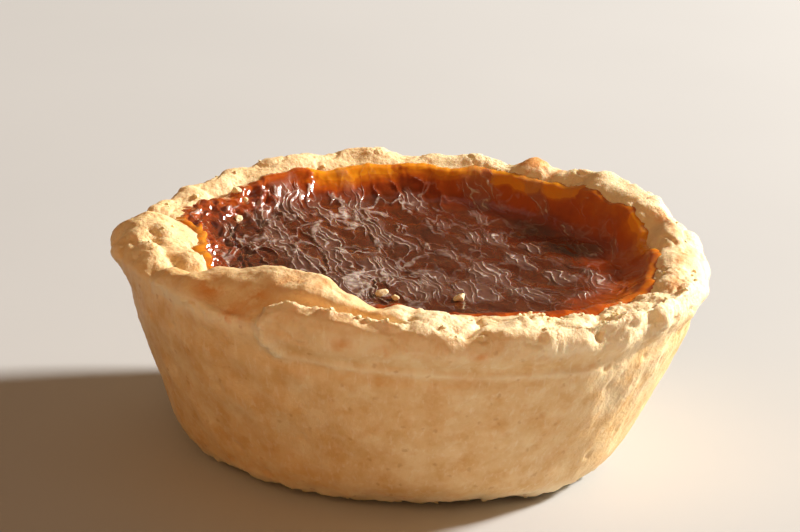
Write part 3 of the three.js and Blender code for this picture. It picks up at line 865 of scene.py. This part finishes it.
# %% Build the filling
FILM_OVERLAP_MM = 0.9  # the film thins out on the dough, so its surface runs on into it
LOW_MIDDLE_MM = 5.2  # the height of the middle of its underside
flat_share = rise(out, 0.97, 1.0)[:, None]
ways_out = np.radians(around)
outwards = np.stack([np.cos(ways_out), np.sin(ways_out), np.full(len(around), -0.35)], axis=1)
top_points = skin_mm + top_normals.reshape(-1, 3) * skin_relief[:, None]
top_points += outwards * flat_share * FILM_OVERLAP_MM

index = np.arange(turn.size).reshape(turn.shape)
edge_loop = np.concatenate([index[0, :-1], index[:-1, -1], index[-1, :0:-1], index[:0:-1, 0]])
corners = [index[:-1, :-1], index[:-1, 1:], index[1:, 1:], index[1:, :-1]]
faces = np.stack(corners, axis=-1).reshape(-1, 4).tolist()
side_lines = treacle_grid[:, [int(np.argmin(abs(treacle_places - s))) for s in (1, 2, 3, 4, 5)]]
rings, loops = [], [edge_loop.tolist()]
for level in (4, 3, 2, 1, 0):
    ring_start = len(top_points) + sum(len(ring) for ring in rings)
    rings.append(read_lines(side_lines, around[edge_loop], np.full(len(edge_loop), level / 4)))
    loops.append(list(range(ring_start, ring_start + len(edge_loop))))
under_centre = len(top_points) + sum(len(ring) for ring in rings)
for upper, lower in zip(loops, loops[1:]):
    faces += [(upper[i - 1], lower[i - 1], lower[i], upper[i]) for i in range(len(upper))]
faces += [(loops[-1][i - 1], under_centre, loops[-1][i]) for i in range(len(edge_loop))]
filling_faces = [tuple(face) for face in faces]
filling_points = np.concatenate([top_points, *rings, [[*TURNING_AXIS_MM, LOW_MIDDLE_MM]]])
print("points of the filling:", len(filling_points))

# %% [markdown]
# ## Putting the pieces together
#
# What a point's place tells its colour is stored with it. Spots on the fold and a knob at the back
# stood nearest the heat, so they are toasted, and the crest on the right is orange along its line. The
# fold's lower face has painted shade in orange-brown, and the fold and the far rim are less pale where
# they face away from the lamp, which is painted shade too. The rim is pale, partly in its own colour
# and partly as painted light, and palest where it is torn, with a painted highlight there and along the
# seam under the band. The foot and a scraped place on the wall are pale too. Dough beside the film is
# soaked. Then each piece is attached to the root body, and the imported solid that it stands for is
# hidden.

# %% Colour numbers for the case
FOLD_SPOTS = (  # place in mm and size in mm
    ((-25.5, -26.8, 29.1), 2.2), ((-19.6, -30.0, 29.8), 2.2), ((-15.0, -29.4, 31.0), 2.0),
    ((-19.2, -33.0, 28.2), 2.0), ((-9.7, -30.0, 31.0), 2.0), ((-22.6, -31.2, 27.2), 2.2),
    ((-12.4, -30.6, 30.6), 1.8), ((9.5, -38.8, 26.2), 1.0), ((-8.0, -39.4, 26.4), 1.6),
    ((-3.0, -39.6, 26.0), 1.2))
SPOT_FLAT = (1, 1, 1.3)  # a spot is a little wider than it is high

# painted shade: orange-brown on the lower face of the fold, which faces away from the lamp
toasted_and_painted_shade = 0.16 * fold * rise(height, 26.0, 28.0) * (1 - rise(height, 30.5, 31.5))
toasted_and_painted_shade += 0.75 * roll(RIGHT_CREST, 1.3, 0.5) + 0.9 * span(57, 67, 3) * rise(height, 30, 31) * rim
for spot, wide in FOLD_SPOTS:
    toasted_and_painted_shade += 0.9 * np.exp(-(np.linalg.norm((points - spot) * SPOT_FLAT, axis=1) / (0.85 * wide)) ** 2)
# less pale: painted shade on the fold's lower face and on the far rim, which face away from the lamp; the
# fold's top, the band's face and the lobe are less pale in their own colour
less_pale_and_painted_shade = 1 - fold * (0.85 - 0.35 * rise(height, 30, 31))
less_pale_and_painted_shade *= 1 - 0.6 * span(243, 290, 10) * (1 - rise(height, 28.5, 29.5))
less_pale_and_painted_shade *= (1 - 0.5 * span(92, 158, 8)) * (1 - 0.7 * span(162, 205, 8))
# the rim's paler colour, partly its own and partly painted light: a painted highlight on the torn edges and
# along the seam under the band; the foot and the scraped place are pale too
pale_and_painted_light = rim * less_pale_and_painted_shade + torn + 0.7 * roll(BELOW_BAND, 0.5) + foot + 0.6 * scraped
by_the_film = rise(station, 21.8, 23.6) * 0.5 + rise(station, 20.2, 22.0) * span(160, 186, 6) * 0.6
soaked_share = by_the_film * rise(cloud(points, 3.0, 2, 51.0), -0.3, 0.4)
print("points that are toasted:", int((toasted_and_painted_shade > 0.4).sum()), "soaked:", int((soaked_share > 0.2).sum()))

# %% The case and the filling as pieces
case = new_piece("shortcrust_case", skin_points, grid_faces(columns, rows), shortcrust)
for name, values in (("toasted_and_painted_shade", toasted_and_painted_shade), ("granular", granular_share + 0.4 * crumbled + 0.2 * rim),
                     ("pale_and_painted_light", pale_and_painted_light), ("soaked", soaked_share)):
    put_attribute(case, name, np.clip(values, 0, 1))
filling = new_piece("wrinkled_treacle", filling_points, filling_faces, treacle)
under = np.zeros(len(filling_points) - len(top_points))
for name, values in (("film", film), ("wet", wet), ("wrinkled", crowded), ("beside", beside),
                     ("gathered", gathered), ("wander", wander), ("window_edge", window_edge),
                     ("long", long), ("tight", tight)):
    put_attribute(filling, name, np.append(values, under))
for piece, solid, slot in ((case, "pastry_case", "pastry"), (filling, "treacle_filling", "treacle")):
    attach(piece, "root")
    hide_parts(solid)
    print(piece.name, "faces:", len(piece.data.polygons))

# %% [markdown]
# ## Crumbs
#
# Shortcrust sheds crumbs: a few lie on the treacle and round the foot, and many fine ones on the torn
# and granular parts of the rim. Each is a ball of dough with flat broken sides, so each is made as a
# small ball whose points are pulled in to a few random planes. A ray finds the surface that a crumb
# lies on. Dice with a fixed seed throw them the same way each time.

# %% Where crumbs lie
CRUMBS = (  # over or in front of this place in mm, size in mm
    ((-25.2, 20.3, 30), 1.3), ((-24.0, 19.6, 30), 0.9), ((-24.5, 13.7, 30), 1.2), ((-3.4, -14.4, 30), 1.5),
    ((-1.6, -15.3, 30), 1.1), ((6.8, -14.8, 30), 1.6), ((-4.8, -37.8, 34), 0.8), ((-6.0, -37.2, 34), 0.7),
    ((-2.4, -38.0, 34), 0.6), ((-9.4, -36.6, 34), 0.7), ((-30.6, 15.6, 34), 1.0))
FOOT_CRUMBS = (  # azimuth in degrees, size in mm
    (242, 1.2), (269, 1.5), (296, 1.0), (281, 0.7), (255, 0.8), (309, 0.7))
FOOT_STATION = 1.6

laid_case = BVHTree.FromPolygons(skin_points.tolist(), grid_faces(columns, rows))
laid_filling = BVHTree.FromPolygons(filling_points.tolist(), filling_faces)


def surface_below(place):
    """The highest point of the case or the filling under a place."""
    hits = [tree.ray_cast(Vector(place), Vector((0, 0, -1)))[0] for tree in (laid_case, laid_filling)]
    return max((hit for hit in hits if hit is not None), key=lambda hit: hit.z)


places = [(surface_below(place), size) for place, size in CRUMBS]
foot_row = int(np.argmax(row_places > FOOT_STATION))
for turned, size in FOOT_CRUMBS:
    at = skin_points.reshape(columns, rows, 3)[int(turned / 360 * columns), foot_row]
    places.append((Vector(at), size))
print("crumbs with a place of their own:", len(places))

# %% One crumb
CUTS = 7
CUT_DEPTHS = (0.22, 0.42)  # how far from the middle a cut is, as shares of the crumb's size
dice = np.random.default_rng(7)


def crumb_points(size_mm):
    """Points of a small ball, cut by random planes, and its faces."""
    ball = bmesh.new()
    bmesh.ops.create_icosphere(ball, subdivisions=3, radius=0.62 * size_mm)
    rounded = np.array([vert.co for vert in ball.verts])
    ball_faces = [[vert.index for vert in face.verts] for face in ball.faces]
    ball.free()
    for _ in range(CUTS):
        side = dice.normal(size=3)
        side /= np.linalg.norm(side)
        over = np.maximum(rounded @ side - dice.uniform(*CUT_DEPTHS) * size_mm, 0)
        rounded -= 0.9 * over[:, None] * side
    rounded *= 1 + 0.16 * cloud(rounded, 0.45 * size_mm, 3, dice.uniform(0, 50))[:, None]
    return rounded * (1, 1, 0.75), ball_faces


# %% Scatter the fine crumbs, and build them all
SCATTERED_CRUMBS = 90
FINE_CRUMB_MM = (0.3, 0.65)
SITS_UP = 0.12  # how far a crumb's middle is above the surface, as a share of its size

sheds = (granular_share + crumbled) * rim_top
for _ in range(SCATTERED_CRUMBS):
    pick = dice.choice(len(points), p=sheds / sheds.sum())
    places.append((Vector(skin_points[pick]), dice.uniform(*FINE_CRUMB_MM)))
crumb_mm, crumb_faces = [], []
for place, size in places:
    shape, shape_faces = crumb_points(size)
    first_point = sum(len(part) for part in crumb_mm)
    crumb_mm.append(shape + np.array(place) + (0, 0, SITS_UP * size))
    crumb_faces += [tuple(first_point + corner for corner in face) for face in shape_faces]
crumbs = new_piece("loose_crumbs", np.concatenate(crumb_mm), crumb_faces, shortcrust)
for name, value in (("toasted_and_painted_shade", 0.0), ("granular", 1.0), ("pale_and_painted_light", 1.0), ("soaked", 0.0)):
    put_attribute(crumbs, name, np.full(len(crumbs.data.vertices), value))
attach(crumbs, "root")
print("crumbs:", len(places), "lowest, mm:", min(part[:, 2].min() for part in crumb_mm).round(2))
